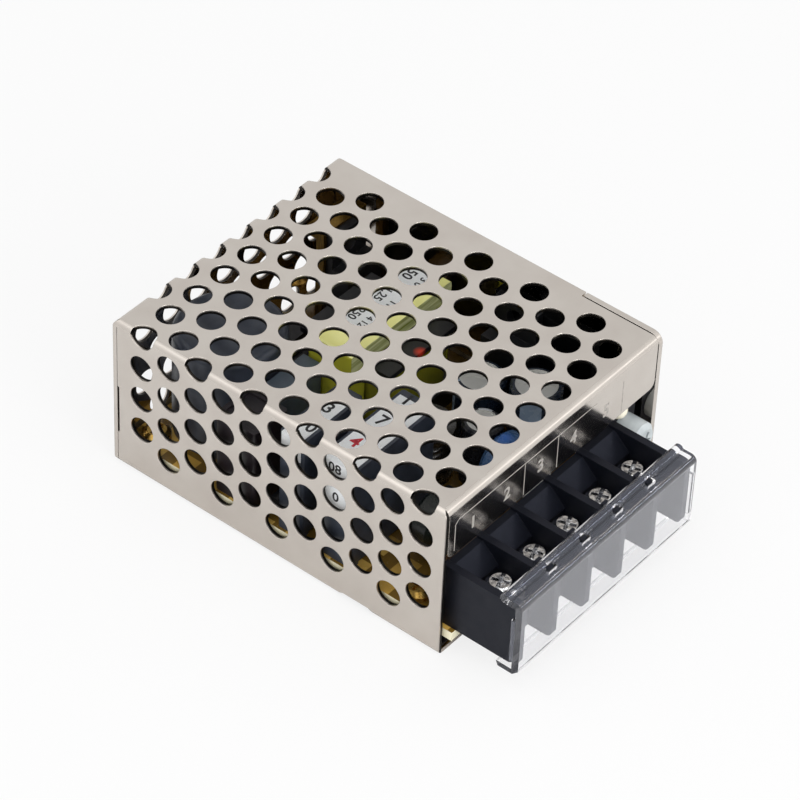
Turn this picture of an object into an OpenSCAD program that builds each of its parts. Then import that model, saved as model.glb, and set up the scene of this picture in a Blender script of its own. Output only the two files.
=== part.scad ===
// Enclosed switching power supply in a folded, perforated sheet case with a
// barrier terminal block at its front. Millimetres, +Z up, terminals face -Y,
// origin on the underside at the middle of the length and width of the case.

/* [Case] */
// Length of the case, from the front edge to the back wall
case_l = 62.5; // [60:0.5:80]
// Width of the case over the left wall and the side plate
case_w = 51; // [49:0.5:64]
// Height of the case
case_h = 28; // [27:0.5:36]
// Thickness of the folded perforated sheet
sheet_t = 0.7; // [0.5:0.1:0.9]
// Outside radius of the sheet's bends
bend_r = 1.1; // [1:0.1:1.5]
// Thickness of the plain side plate
plate_t = 0.9; // [0.8:0.1:1.2]
// Gap between two edges of sheet that meet
seam_gap = 0.1; // [0.05:0.05:0.2]
// Height of the flap folded down over the front
flap_h = 9.5; // [8:0.5:10.5]
// Radius of the flap's lower corners
flap_corner_r = 1.2; // [0.5:0.1:2]
// Length of the side plate's raised front end
raised_l = 14; // [8:0.5:18]
// Gap between the top sheet and that raised end
raised_gap = 0.25; // [0.2:0.05:0.4]
// Radius of the raised end's top front corner
raised_r = 1.8; // [1:0.1:2.5]
// Length of the slit at the left rear corner
slit_l = 9; // [6:0.5:12]
// Width of that slit
slit_w = 0.4; // [0.3:0.05:0.6]
// Height of the lowest point of that slit
slit_z = 6.4; // [5:0.1:9]

/* [Perforation] */
// Distance between the centres of neighbouring holes
hole_pitch = 6.08; // [5.8:0.02:6.4]
// Diameter of the holes
hole_d = 4.4; // [3.8:0.1:4.6]
// Least strip of sheet between a hole and the right or front edge
edge_web = 2; // [1.8:0.1:3]
// Least strip of sheet between a hole and the bottom edge
low_web = 3; // [2.6:0.1:4]

/* [Base mounting] */
// Height of the pressed mounting pads in the base
pad_h = 1; // [0.6:0.1:1.1]
// Width of a pad at its flat top
pad_top = 4.7; // [4.4:0.1:6]
// Width of a pad at its foot
pad_foot = 8.1; // [7:0.1:9]
// Distance of the mounting holes from the middle, along the case
mount_y = 15.75; // [12:0.25:20]
// Distance of the mounting holes from the middle, across the case
mount_x = 16.25; // [16:0.25:20]
// Core diameter of the tapped mounting holes
tap_d = 2.5; // [2.4:0.05:2.6]
// Height of the drawn collar of a tapped hole
collar_h = 0.7; // [0.5:0.1:0.8]
// Height of the base flange that holds the side plate
flange_h = 7; // [6:0.5:9]
// Distance of the side plate's screws from the middle of the case
side_screw_y = 20; // [14:0.5:24]
// Height of those screws
side_screw_z = 4.4; // [4:0.1:5.5]
// Diameter of their countersunk heads
side_head_d = 4; // [3.6:0.1:4.4]
// Diameter of their shanks
side_shank_d = 2.5; // [2:0.1:2.5]

/* [Circuit board] */
// Thickness of the circuit board
board_t = 1.6; // [1.2:0.1:1.8]
// Height of the board's lower face over the resting face
board_z = 3; // [2.9:0.1:4]
// Gap between the board and the left wall
board_gap = 0.5; // [0.3:0.1:1]
// Length of board that stands out of the case's front
board_out = 1.35; // [1:0.05:3]
// Diameter of the board's standoffs
standoff_d = 4.4; // [4:0.1:5]
// Thickness of the insulating sheet
film_t = 0.25; // [0.2:0.05:0.4]

/* [Terminal block] */
// Number of terminals
ways = 5; // [5:1:5]
// Distance between neighbouring terminals
way_pitch = 7.8; // [7.6:0.05:8.2]
// Thickness of the barriers between terminals
barrier_t = 1.2; // [1:0.1:1.5]
// Distance of the block's left face from the case's left face
block_x = 2; // [1.7:0.1:3]
// Depth of the block, front to rear
block_d = 13.4; // [13:0.2:15]
// Height of the barriers over the board
block_h = 11.4; // [11:0.2:12.2]
// Length of the block that stands out of the case
block_out = 11.75; // [11:0.05:13]
// Length of the barriers in front of the block's body
barrier_out = 4.1; // [3.4:0.1:4.2]
// Radius of the barriers' lower front corners
barrier_r = 1; // [0.5:0.1:1.2]
// Height of the seat of the contact plates over the board
seat_h = 5.8; // [5.6:0.1:6.4]
// Distance of the screws behind the barriers' front edges
screw_back = 6.3; // [6.2:0.1:6.6]
// Thickness of the contact plates
contact_t = 0.8; // [0.6:0.1:1]
// Thickness of the clamp washers
clamp_t = 0.8; // [0.6:0.1:1]
// Play of the clamp washers between the barriers, on each side
clamp_play = 0.5; // [0.3:0.1:0.6]
// Diameter of the terminal screws' thread
thread_d = 3; // [3:0.1:3]
// Diameter of the terminal screws' heads
screw_head_d = 4.6; // [4.2:0.1:4.8]
// Height of those heads
screw_head_h = 1.9; // [1.6:0.1:2]
// Length of the screws' shanks
screw_l = 6; // [5:0.5:6]
// Play around a turning shank, on the radius
turn_play = 0.08; // [0.04:0.01:0.1]

/* [Terminal cover] */
// Thickness of the clear cover
cover_t = 1.2; // [1:0.1:1.3]
// Length of the cover beyond each end of the block
cover_over = 0.6; // [0.5:0.1:0.8]
// Radius of the cover's hinge rod
rod_r = 0.82; // [0.7:0.02:0.9]
// Distance of the hinge rod behind the barriers' front edges
rod_back = 1.8; // [1.7:0.1:2.2]
// Radial play of the rod in its hooks
rod_play = 0.08; // [0.04:0.01:0.1]
// Wall of the hooks that hold the rod
hook_t = 0.5; // [0.5:0.1:0.7]
// Height of the hooks' lips over the rod's axis
hook_lip = 0.5; // [0.4:0.05:0.6]
// Gap between the cover and the barriers
cover_gap = 0.25; // [0.2:0.05:0.4]
// Depth of the lip under the barriers
lip_d = 2.8; // [2:0.1:3]

/* [Trimmer and lamp] */
// Diameter of the trimmer's knob
knob_d = 5.2; // [4.2:0.1:5.4]
// Height of the knob's axis over the board
knob_h = 6.8; // [5.5:0.1:7.2]
// Distance of the knob's axis from the side plate's outside
knob_x = 5; // [4.4:0.1:5.2]
// Length of the knob in front of the case
knob_out = 1.9; // [1:0.1:3]
// Diameter of the indicator lamp
lamp_d = 3; // [3:0.1:3]

/* [Transformer] */
// Length of the transformer core, across the case
core_l = 23; // [20:0.5:24]
// Depth of the core, along the case
core_w = 7.6; // [6:0.2:8]
// Height of the core
core_h = 18; // [15:0.5:18.5]
// Thickness of the core's yokes and outer legs
core_leg = 3; // [2.4:0.1:3.4]
// Depth of the bobbin's flanges, along the case
bobbin_d = 17.2; // [14:0.2:17.6]
// Thickness of the tape around the core
tape_t = 0.25; // [0.2:0.05:0.3]
// Distance of the transformer's middle from the middle of the case, across
trafo_x = 6.8; // [6:0.2:7]
// Distance of the transformer's middle from the middle of the case, along
trafo_y = 6.8; // [6.4:0.1:7]

/* [Capacitors] */
// Diameter of the mains smoothing capacitor
bulk_d = 17.4; // [16:0.2:17.6]
// Height of the mains smoothing capacitor
bulk_h = 19.2; // [16:0.2:20]
// Length of the boxed filter capacitor
box_l = 18.6; // [16:0.2:18.8]
// Width of the boxed filter capacitor
box_w = 6.3; // [5:0.1:7]
// Length of the boxed suppression capacitor
supp_l = 13.4; // [10:0.2:14]
// Width of the boxed suppression capacitor
supp_w = 4.6; // [4:0.1:5]
// Height of the two boxed capacitors
box_h = 19; // [16:0.5:20]
// Side of the potted line filter
filter_a = 7.6; // [6:0.2:7.8]
// Height of the potted line filter
filter_h = 15; // [12:0.5:18]
// Diameter of the output capacitors
out_d = 8; // [8:0.5:8]
// Height of the taller output capacitor
out_h = 15; // [12:0.5:16]
// Diameter of the blue disc capacitor
disc_d = 10; // [8:0.5:10.5]
// Thickness of the blue disc capacitor
disc_t = 3.4; // [3:0.1:4]

/* [Hidden] */

$fn = 48;
eps = 0.01;
far = 200;

// Faces of the case
x_l = -case_w / 2;
x_r = case_w / 2;
y_f = -case_l / 2;
y_b = case_l / 2;
x_plate = x_r - plate_t;
inner_r = bend_r - sheet_t;
flap_z = case_h - flap_h;
flap_l = x_l + sheet_t + 0.25;
flap_r = x_plate - raised_gap;
// Middle of a bend, measured from the corner of the two faces that it joins
bend_mid = bend_r * (1 - sqrt(0.5));

// Hole pattern: rows across the case, every other row shifted by half a pitch
row_step = hole_pitch * sqrt(3) / 2;
// Holes on a bend are a little narrower in the wall than in the top
bend_hole_d = hole_d - 0.1;
grid_x = x_l + bend_mid;
grid_y = y_b - bend_mid;
grid_z = case_h - bend_mid;
row_count = floor((grid_y - y_f - edge_web - hole_d / 2) / row_step);
back_rows = floor((grid_z - low_web - hole_d / 2) / row_step);
// Number of holes in a row that starts at shift and ends before room
function holes_in(shift, room) = floor((room - shift - hole_d / 2) / hole_pitch);

board_top = board_z + board_t;
board_l = x_l + sheet_t + board_gap;
board_r = x_plate - sheet_t - board_gap;
board_f = y_f - board_out;
board_b = y_b - sheet_t - board_gap;

// Terminal block
block_l = x_l + block_x;
block_w = ways * way_pitch + barrier_t;
block_r = block_l + block_w;
block_f = y_f - block_out;
block_b = block_f + block_d;
block_top = board_top + block_h;
body_f = block_f + barrier_out;
seat_z = board_top + seat_h;
screw_y = block_f + screw_back;
plate_z = seat_z + contact_t;
head_z = plate_z + clamp_t;
bay_w = way_pitch - barrier_t;
bay_play = 0.4;
contact_lip = 1.6;
ramp_y = screw_y + 2.9;
ramp_top_y = ramp_y + 3;
ramp_low_z = seat_z + 2.4;
ramp_top_z = block_top - 0.4;
function way_x(i) = block_l + barrier_t / 2 + way_pitch * (i - 0.5);

// Clear cover and its hinge
rod_y = block_f + rod_back;
hook_in = rod_r + rod_play;
hook_out = hook_in + hook_t;
rod_z = block_top + hook_in + 0.1;
cover_l = block_l - cover_over;
cover_w = block_w + 2 * cover_over;
strip_low = block_top + cover_gap - 0.1;
strip_top = strip_low + cover_t;
cover_f = block_f - cover_gap - cover_t;
lip_top = board_top - cover_gap;
lip_t = 0.9;
cover_r = 1.1;
slot_play = 0.35;

knob_cx = x_r - knob_x;
knob_z = board_top + knob_h;
knob_f = y_f - knob_out;
trim_b = y_f + 7.5;
trim_f = y_f + 2.6;

core_z = board_top + 0.6;
core_top = core_z + core_h;
mid_leg = 2 * core_leg;
window_l = core_l - 2 * core_leg;
window_w = (window_l - mid_leg) / 2;
bobbin_t = 0.9;
bobbin_low = core_z + core_leg + 0.05;
bobbin_top = core_top - core_leg - 0.05;
bobbin_l = window_l - 0.3;
rail_d = 2.8;

bulk_x = board_l + bulk_d / 2 + 4.2;
bulk_y = board_b - bulk_d / 2 - 0.7;
filter_x = board_l + filter_a / 2 + 0.5;
filter_y = bulk_y - 11.65;
boxcap_x = x_l + sheet_t + 1 + box_l / 2;
boxcap_y = -10.35;
supp_x = x_l + sheet_t + 1 + supp_l / 2;
supp_y = -1.7;

// Places of the remaining parts
sink_t = 1.5;
sink_x = 17;
sink_y = y_b - 8.65;
diode_x = board_r - 1.2 - sink_t;
diode_y = trafo_y - bobbin_d / 2 - 7.1;
bridge_l = 10;
bridge_t = 3.4;
bridge_x = trafo_x - core_l / 2 - tape_t - bridge_l / 2 - 0.6;
bridge_y = bulk_y - bulk_d / 2 - bridge_t / 2 - 0.6;
fuse_x = -12;
fuse_y = y_f + 4.75;
ntc_x = -12.5;
ntc_y = y_f + 11.25;
chip_x = 4.2;
chip_y = y_b - 5.65;
opto_x = 5;
opto_y = y_f + 4.1;
choke_x = -0.2;
choke_y = -7.9;
out_x1 = 12.2;
out_y1 = trim_b + 0.8 + 0.3 + out_d / 2;
out_x2 = 10.4;
out_y2 = out_y1 + out_d + 1;
aux_x = 4.2;
aux_y = y_f + 16.25;
disc_x = 3;
disc_y = y_f + 10.95;
function resistor_at() = [[-3.6, y_f + 3.95, 0], [3.5, y_b - 13.85, 0], [-9.8, 3.6, 0]];
function diode_at() = [[-19.6, 2.9, 0], [4, y_b - 10.95, 0], [-3.3, y_f + 14.55, 90]];
function standoff_at() = [[board_r - 3.4, board_b - 3.4], [board_l + 3.2, board_b - 3.4],
  [board_l + 3.2, y_f + 7.5], [12.8, y_f + 4.6]];

// Sheet metal

// Cross-section of the folded sheet's outside or inside, seen along the case
module girth(inset, r) {
  w = case_w - inset;
  h = case_h - 2 * inset;
  translate([x_l + inset, inset]) {
    translate([r, 0]) square([w + far - r, h]);
    translate([0, r]) square([w, h - 2 * r]);
    for (z = [r, h - r]) translate([r, z]) circle(r);
  }
}

// Side view of the folded sheet's outside or inside, seen across the case
module side_view(inset, r) {
  l = case_l - 2 * inset;
  h = case_h - inset;
  translate([y_f + inset, -far + h]) {
    translate([r, 0]) square([l - 2 * r, far]);
    square([l, far - r]);
    for (y = [r, l - r]) translate([y, far - r]) circle(r);
  }
}

module sheet_block(inset, r) {
  intersection() {
    translate([0, y_b + 1, 0]) rotate([90, 0, 0])
      linear_extrude(case_l + 2) girth(inset, r);
    translate([x_l - 1, 0, 0]) rotate([90, 0, 90])
      linear_extrude(case_w + far) side_view(inset, r);
  }
}

module vertical_hole(x, y, z0, z1) {
  translate([x, y, z0]) cylinder(d = hole_d, h = z1 - z0);
}

module side_hole(y, z, x0, x1, d = hole_d) {
  translate([x0, y, z]) rotate([0, 90, 0]) cylinder(d = d, h = x1 - x0);
}

module back_hole(x, z, y0, y1, d = hole_d) {
  translate([x, y1, z]) rotate([90, 0, 0]) cylinder(d = d, h = y1 - y0);
}

// Round holes through the top, the left wall, the back wall and their bends
module perforation() {
  for (k = [0 : row_count - 1]) {
    odd = k % 2;
    y = grid_y - (k + 1) * row_step;
    shift = odd * hole_pitch / 2;
    first = 1 - odd;
    across = holes_in(shift, x_r - grid_x - edge_web - plate_t / 2);
    down = holes_in(shift, grid_z - low_web);
    for (i = [first : across])
      vertical_hole(grid_x + shift + i * hole_pitch, y, case_h - 2, case_h + 1);
    for (i = [first : down])
      side_hole(y, grid_z - shift - i * hole_pitch, x_l - 1, x_l + 2);
    if (odd == 0) {
      vertical_hole(grid_x, y, case_h - bend_r, case_h + 1);
      side_hole(y, grid_z, x_l - 1, x_l + bend_r, bend_hole_d);
    }
  }
  for (k = [0 : back_rows]) {
    odd = 1 - k % 2;
    z = grid_z - k * row_step;
    across = holes_in(odd * hole_pitch / 2, x_plate - grid_x - edge_web + 0.6);
    for (i = [1 : across]) {
      x = grid_x + odd * hole_pitch / 2 + i * hole_pitch;
      if (k == 0) {
        vertical_hole(x, grid_y, case_h - bend_r, case_h + 1);
        back_hole(x, z, y_b - bend_r, y_b + 1, bend_hole_d);
      } else {
        back_hole(x, z, y_b - 2, y_b + 1);
      }
    }
  }
}

// Four-sided pad with a flat top, open to the left when reach is long
module pad(x, y, z0, h, grow, reach) {
  half_top = pad_top / 2 + grow;
  half_foot = pad_foot / 2 + grow;
  translate([x, y, z0]) intersection() {
    rotate([90, 0, 90]) translate([0, 0, -reach]) linear_extrude(reach + half_foot + eps)
      polygon([[-half_foot, 0], [half_foot, 0], [half_top, h], [-half_top, h]]);
    rotate([90, 0, 0]) translate([0, 0, -half_foot - 1]) linear_extrude(2 * half_foot + 2)
      polygon([[-reach, 0], [half_foot, 0], [half_top, h],
        [reach > half_foot + 1 ? -reach : -half_top, h]]);
  }
}

module pads(z0, h, grow, reach) {
  pad(-mount_x, -mount_y, z0, h, grow, reach);
  pad(mount_x, mount_y, z0, h, grow, pad_foot / 2 + grow);
}

pad_rise = (pad_foot - pad_top) / 2;
pad_grow = sheet_t * (sqrt(pad_h * pad_h + pad_rise * pad_rise) - pad_rise) / pad_h;

module mount_points() {
  for (s = [-1, 1]) translate([s * mount_x, s * mount_y, 0]) children();
}

module side_screw_points() {
  for (s = [-1, 1]) translate([x_r, s * side_screw_y, side_screw_z])
    rotate([0, -90, 0]) children();
}

// Everything that is cut away around the left wall, the base and the flap
module sheet_openings() {
  // Front opening under the flap
  translate([x_l + sheet_t, y_f - 1, sheet_t])
    cube([far, sheet_t + 1, flap_z - sheet_t]);
  // Rounded lower corners of the flap
  for (c = [[flap_l, 1], [flap_r, -1]])
    translate([c[0], y_f + bend_r, flap_z]) rotate([90, 0, 0])
      linear_extrude(bend_r + 1) difference() {
        translate([c[1] > 0 ? -0.5 : -flap_corner_r, -0.5])
          square([flap_corner_r + 0.5, flap_corner_r + 0.5]);
        translate([c[1] * flap_corner_r, flap_corner_r]) circle(flap_corner_r);
      }
  // Seam between the flap and the left wall
  translate([x_l + sheet_t, y_f - 1, sheet_t])
    cube([flap_l - x_l - sheet_t, bend_r + 1, case_h - bend_r - sheet_t]);
  // Seam between the back wall and the left wall, with its slit
  translate([x_l - 1, y_b - sheet_t - seam_gap, -1])
    cube([sheet_t + 1, seam_gap, case_h - bend_r + 1]);
  translate([x_l - 1, y_b - sheet_t - slit_w, slit_z])
    cube([sheet_t + 1, slit_w, slit_l]);
  // Seam between the back wall and the base
  translate([x_l - 1, y_b - sheet_t - seam_gap, -1])
    cube([far, seam_gap, sheet_t + 1]);
  // The sheet ends at the side plate, over which only the top reaches
  translate([x_plate - seam_gap, y_f - 1, -1])
    cube([far, case_l + 2, case_h - sheet_t + 1 - seam_gap / 2]);
  translate([x_r, y_f - 1, -1]) cube([far, case_l + 2, case_h + 2]);
  translate([flap_r, y_f - 1, -1]) cube([far, raised_l + 1 + raised_gap, case_h + 2]);
}

// Perforated sheet folded into top, left wall, base, back wall and front flap
module folded_mesh_case() {
  color("#cdc6bd") difference() {
    union() {
      difference() {
        sheet_block(0, bend_r);
        sheet_block(sheet_t, inner_r);
        sheet_openings();
      }
      // Flange folded up from the base behind the side plate
      translate([x_plate - seam_gap - sheet_t, y_f + raised_l, 0])
        cube([sheet_t, case_l - raised_l - sheet_t - 1, flange_h]);
      pads(sheet_t - eps, pad_h + eps, pad_grow, case_w / 2 - mount_x - sheet_t / 2);
      mount_points() translate([0, 0, sheet_t])
        cylinder(d = tap_d + 1.4, h = pad_h + collar_h);
    }
    pads(-eps, pad_h + eps, 0, case_w / 2);
    mount_points() translate([0, 0, -1]) cylinder(d = tap_d, h = board_z + 1);
    side_screw_points() cylinder(d = side_shank_d, h = plate_t + sheet_t + 2);
    perforation();
  }
}

// Plain plate that closes the right side, taller at its front end
module side_plate() {
  low_h = case_h - sheet_t - seam_gap / 2;
  color("#d2cbc2") difference() {
    translate([x_plate, 0, 0]) rotate([90, 0, 90]) linear_extrude(plate_t) {
      translate([y_f, 0]) square([case_l, case_h - raised_r]);
      translate([y_f + raised_r, 0]) square([raised_l - raised_r, case_h]);
      translate([y_f + raised_r, case_h - raised_r]) circle(raised_r);
      translate([y_f + raised_r, 0]) square([case_l - raised_r - bend_r, low_h]);
      translate([y_b - bend_r, low_h - bend_r]) circle(bend_r);
    }
    side_screw_points() translate([0, 0, -eps])
      cylinder(d1 = side_head_d + 2 * eps, d2 = side_shank_d, h = plate_t + 2 * eps);
  }
}

// Two countersunk screws that hold the side plate to the base flange
module case_screws() {
  color("#b9b6b0") side_screw_points() difference() {
    union() {
      cylinder(d1 = side_head_d, d2 = side_shank_d, h = plate_t);
      cylinder(d = side_shank_d, h = plate_t + sheet_t + seam_gap + 0.3);
    }
    for (a = [0, 90]) rotate([0, 0, a])
      translate([-1.2, -0.22, -eps]) cube([2.4, 0.44, 0.55]);
  }
}

// Board and what carries it

module standoff_points() {
  for (p = standoff_at()) translate([p[0], p[1], 0]) children();
}

// Black film between the base and the soldered side of the board
module insulating_film() {
  edge = 0.5;
  gap_a = pad_foot + 2;
  color("#1d1c1f") difference() {
    translate([x_l + sheet_t + edge, y_f + 0.5, sheet_t])
      cube([x_plate - x_l - 2 * sheet_t - 2 * edge - seam_gap, case_l - sheet_t - 1.5, film_t]);
    // Cut-outs around the pressed pads
    for (s = [-1, 1]) translate([s * mount_x - gap_a / 2, s * mount_y - gap_a / 2, 0])
      cube([gap_a, gap_a, board_z]);
    translate([x_l, -mount_y - gap_a / 2, 0]) cube([gap_a, gap_a, board_z]);
    standoff_points() cylinder(d = standoff_d + 0.6, h = board_z);
  }
}

// Round standoffs riveted into the base
module board_standoffs() {
  color("#c9c5bd") standoff_points() difference() {
    translate([0, 0, sheet_t]) cylinder(d = standoff_d, h = board_z - sheet_t);
    translate([0, 0, sheet_t + 0.5]) cylinder(d = 2.2, h = board_z);
  }
}

// Pan head screws that hold the board on its standoffs
module board_screws() {
  color("#c4c1bb") standoff_points() difference() {
    union() {
      translate([0, 0, board_top]) cylinder(d = 4.4, h = 0.9);
      translate([0, 0, board_top + 0.9]) cylinder(d1 = 4.4, d2 = 3, h = 0.6);
      translate([0, 0, sheet_t + 0.8]) cylinder(d = 2.1, h = board_top - sheet_t);
    }
    for (a = [0, 90]) rotate([0, 0, a])
      translate([-1.3, -0.25, board_top + 0.7]) cube([2.6, 0.5, 1]);
  }
}

module circuit_board() {
  color("#a98a45") difference() {
    translate([board_l, board_f, board_z])
      cube([board_r - board_l, board_b - board_f, board_t]);
    standoff_points() cylinder(d = 2.4, h = board_top + 1);
    // Isolation slot between the mains side and the output side
    translate([-7.2, y_f + 7.25, 0]) cube([1.2, 9.6, board_top + 1]);
  }
}

// Soldered lead ends under the board, one for each lead that comes through
function lead_points() = concat(
  [for (i = [1 : ways]) [way_x(i), block_b - 2.5]],
  [for (i = [0 : 4]) for (s = [-1, 1])
    [trafo_x + (i - 2) * 3.2, trafo_y + s * (bobbin_d - rail_d) / 2]],
  [for (sx = [-1, 1]) for (sy = [-1, 1]) [filter_x + sx * 2.4, filter_y + sy * 2.4]],
  [for (s = [-1, 1]) [boxcap_x + s * 7.5, boxcap_y]],
  [for (s = [-1, 1]) [supp_x + s * 5, supp_y]],
  [for (s = [-1, 1]) [bulk_x, bulk_y + s * 3.75]],
  [for (i = [0 : 3]) [21.2, -4 + i * 2.5]]);

module solder_joints() {
  color("#b4b3b0") for (p = lead_points())
    translate([p[0], p[1], board_z - 0.9]) cylinder(d1 = 0.9, d2 = 2, h = 0.9, $fn = 24);
}

// Terminal block

// Barrier wall, rounded at its lower front corner
module barrier(x) {
  translate([x, block_f, board_top]) rotate([90, 0, 90]) linear_extrude(barrier_t) {
    translate([barrier_r, 0]) square([block_d - barrier_r, block_h]);
    translate([0, barrier_r]) square([block_d, block_h - barrier_r]);
    translate([barrier_r, barrier_r]) circle(barrier_r);
  }
}

// Open hook on a barrier that the cover's rod snaps into
module rod_hook(x) {
  translate([x, rod_y, rod_z]) rotate([90, 0, 90]) linear_extrude(barrier_t) difference() {
    circle(hook_out);
    circle(hook_in);
    translate([-hook_out - 1, hook_lip]) square([2 * hook_out + 2, hook_out]);
  }
}

// Body of one terminal: screw seat, sloping rear and well for the screw's end
module terminal_bay(i) {
  x0 = way_x(i) - bay_w / 2;
  well_d = thread_d + 0.8;
  difference() {
    translate([x0 - eps, 0, 0]) rotate([90, 0, 90]) linear_extrude(bay_w + 2 * eps)
      polygon([[body_f, board_top], [body_f, seat_z - contact_lip],
        [body_f + contact_t, seat_z - contact_lip], [body_f + contact_t, seat_z],
        [ramp_y, seat_z], [ramp_y, ramp_low_z], [ramp_top_y, ramp_top_z],
        [block_b, ramp_top_z], [block_b, board_top]]);
    translate([way_x(i), screw_y, head_z - screw_l - 0.8])
      cylinder(d = well_d, h = screw_l + 1);
  }
}

module terminal_block() {
  color("#23232b") difference() {
    union() {
      for (i = [0 : ways]) barrier(block_l + i * way_pitch);
      for (i = [1 : ways]) terminal_bay(i);
      for (i = [1 : ways - 1]) rod_hook(block_l + i * way_pitch);
    }
    // Slots for the tails of the contact plates
    for (i = [1 : ways]) translate([way_x(i) - 1.1, block_b - 2.9, board_top - 1])
      cube([2.2, contact_t + 0.1, 4]);
  }
}

// Tinned contact plate with a tapped hole and a lip over the front of its seat
module contact_plate(i) {
  w = bay_w - bay_play;
  color("#d8d6cf") translate([way_x(i), 0, 0]) difference() {
    union() {
      translate([-w / 2, body_f, seat_z]) cube([w, ramp_y - body_f, contact_t]);
      translate([-w / 2, body_f, seat_z - contact_lip]) cube([w, contact_t, contact_lip + eps]);
    }
    translate([0, screw_y, seat_z - contact_lip - 1])
      cylinder(d = thread_d + 2 * turn_play, h = contact_lip + contact_t + 2);
  }
}

// Square clamp washer with a grooved rim, captive under the screw head
module clamp_washer(i) {
  w = bay_w - 2 * clamp_play;
  d = 5.2;
  color("#dcdad4") translate([way_x(i), screw_y, plate_z]) difference() {
    translate([-w / 2, -d / 2, 0]) cube([w, d, clamp_t]);
    translate([0, 0, -1]) cylinder(d = thread_d + 2 * turn_play, h = clamp_t + 2);
    for (s = [-1, 1]) for (k = [0, 1])
      translate([s * (w / 2 - 0.45 - k * 0.7) - 0.12, -d, clamp_t - 0.2])
        cube([0.24, 2 * d, 1]);
  }
}

// Pan head screw with a cross recess and a slot
module terminal_screw(i) {
  dome = 0.7;
  color("#cfcdc8") translate([way_x(i), screw_y, head_z]) difference() {
    union() {
      cylinder(d = screw_head_d, h = screw_head_h - dome);
      translate([0, 0, screw_head_h - dome])
        cylinder(d1 = screw_head_d, d2 = screw_head_d - 1.4, h = dome);
      translate([0, 0, -screw_l]) cylinder(d = thread_d, h = screw_l);
      translate([0, 0, -screw_l - 0.5]) cylinder(d1 = thread_d - 1, d2 = thread_d, h = 0.5);
    }
    for (a = [0, 90]) rotate([0, 0, a + 20]) translate([-1.35, -0.3, screw_head_h - 1.2])
      cube([2.7, 0.6, 2]);
    rotate([0, 0, 20]) translate([-screw_head_d, -0.3, screw_head_h - 0.6])
      cube([2 * screw_head_d, 0.6, 2]);
  }
}

// Clear cover

// Side view of the cover: top strip, front panel and inward lip
module cover_shape() {
  in_f = cover_f + cover_t;
  difference() {
    union() {
      translate([rod_y, rod_z]) circle(rod_r);
      translate([cover_f + cover_r, strip_low])
        square([rod_y - cover_f - cover_r, cover_t]);
      translate([cover_f, lip_top - lip_t + 1])
        square([cover_t, strip_top - cover_r - lip_top + lip_t - 1]);
      translate([cover_f + cover_r, strip_top - cover_r]) circle(cover_r);
      polygon([[cover_f, lip_top - lip_t + 1], [cover_f + 1, lip_top - lip_t],
        [cover_f + cover_t + lip_d - 0.4, lip_top - lip_t], [cover_f + cover_t + lip_d, lip_top],
        [in_f, lip_top], [in_f, lip_top + 0.2]]);
    }
    translate([in_f, strip_low - 2]) square([1, 2]);
  }
}

module terminal_cover() {
  rib_t = cover_over - 0.2;
  color("#dfe6ee", 0.35) {
    difference() {
      union() {
        translate([cover_l, 0, 0]) rotate([90, 0, 90]) linear_extrude(cover_w) cover_shape();
        // Stiffening rib behind each end of the front panel
        for (x = [cover_l, cover_l + cover_w - rib_t])
          translate([x, cover_f + cover_t - eps, board_top + 1.2])
            cube([rib_t, 0.6, block_h - 3.4]);
      }
      // Slots in the strip around the hooks
      for (i = [1 : ways - 1])
        translate([block_l + i * way_pitch - slot_play, rod_y - hook_out - 0.25, strip_low - 1])
          cube([barrier_t + 2 * slot_play, hook_out + rod_r + 1, cover_t + 3]);
    }
    translate([cover_l, rod_y, rod_z]) rotate([0, 90, 0]) cylinder(r = rod_r, h = cover_w);
  }
}

// Trimmer and lamp

module trimmer_body() {
  w = 6.4;
  color("#2d4f8c") difference() {
    translate([knob_cx - w / 2, trim_f, board_top]) cube([w, trim_b - trim_f, knob_h + w / 2]);
    translate([knob_cx, trim_f - 1, knob_z]) rotate([-90, 0, 0])
      cylinder(r = 1.5 + turn_play, h = 4);
  }
}

module trimmer_knob() {
  edge = 0.7;
  color("#dfe3e2") translate([knob_cx, knob_f, knob_z]) rotate([-90, 0, 0]) difference() {
    union() {
      cylinder(d1 = knob_d - 2 * edge, d2 = knob_d, h = edge);
      translate([0, 0, edge]) cylinder(d = knob_d, h = trim_f - knob_f - edge - 0.1);
      cylinder(r = 1.5, h = trim_f - knob_f + 2.6);
    }
    for (a = [0, 90]) rotate([0, 0, a + 30])
      translate([-1.4, -0.35, -1]) cube([2.8, 0.7, 1.8]);
  }
}

// Round indicator lamp lying on its side, its two legs bent down to the board
module indicator_lamp() {
  x = block_r + 1.9;
  z = flap_z - lamp_d / 2 - 0.5;
  lamp_y = y_f + 2.2;
  bend_y = trim_b + 0.3 - lamp_y;
  color("#e9e4cf") translate([x, lamp_y, z]) {
    sphere(d = lamp_d);
    rotate([-90, 0, 0]) cylinder(d = lamp_d, h = 2.6);
    translate([0, 2.6, 0]) rotate([-90, 0, 0]) cylinder(d = lamp_d + 0.6, h = 0.8);
    for (s = [-1, 1]) {
      translate([s * 0.9 - 0.25, 3, -0.25]) cube([0.5, bend_y - 3 + 0.5, 0.5]);
      translate([s * 0.9 - 0.25, bend_y, board_top - z]) cube([0.5, 0.5, z - board_top]);
    }
  }
}

// Transformer

// Half of the standing core: yoke, two outer legs and a middle leg
module core_half() {
  difference() {
    translate([-core_l / 2, -core_w / 2, 0]) cube([core_l, core_w, core_h / 2 - 0.04]);
    for (s = [-1, 1])
      translate([s * (mid_leg + window_w) / 2 - window_w / 2, -core_w, core_leg])
        cube([window_w, 2 * core_w, core_h]);
  }
}

module transformer_core() {
  color("#2b2a2c") translate([trafo_x, trafo_y, core_z]) {
    core_half();
    translate([0, 0, core_h]) rotate([0, 180, 0]) core_half();
  }
}

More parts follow.
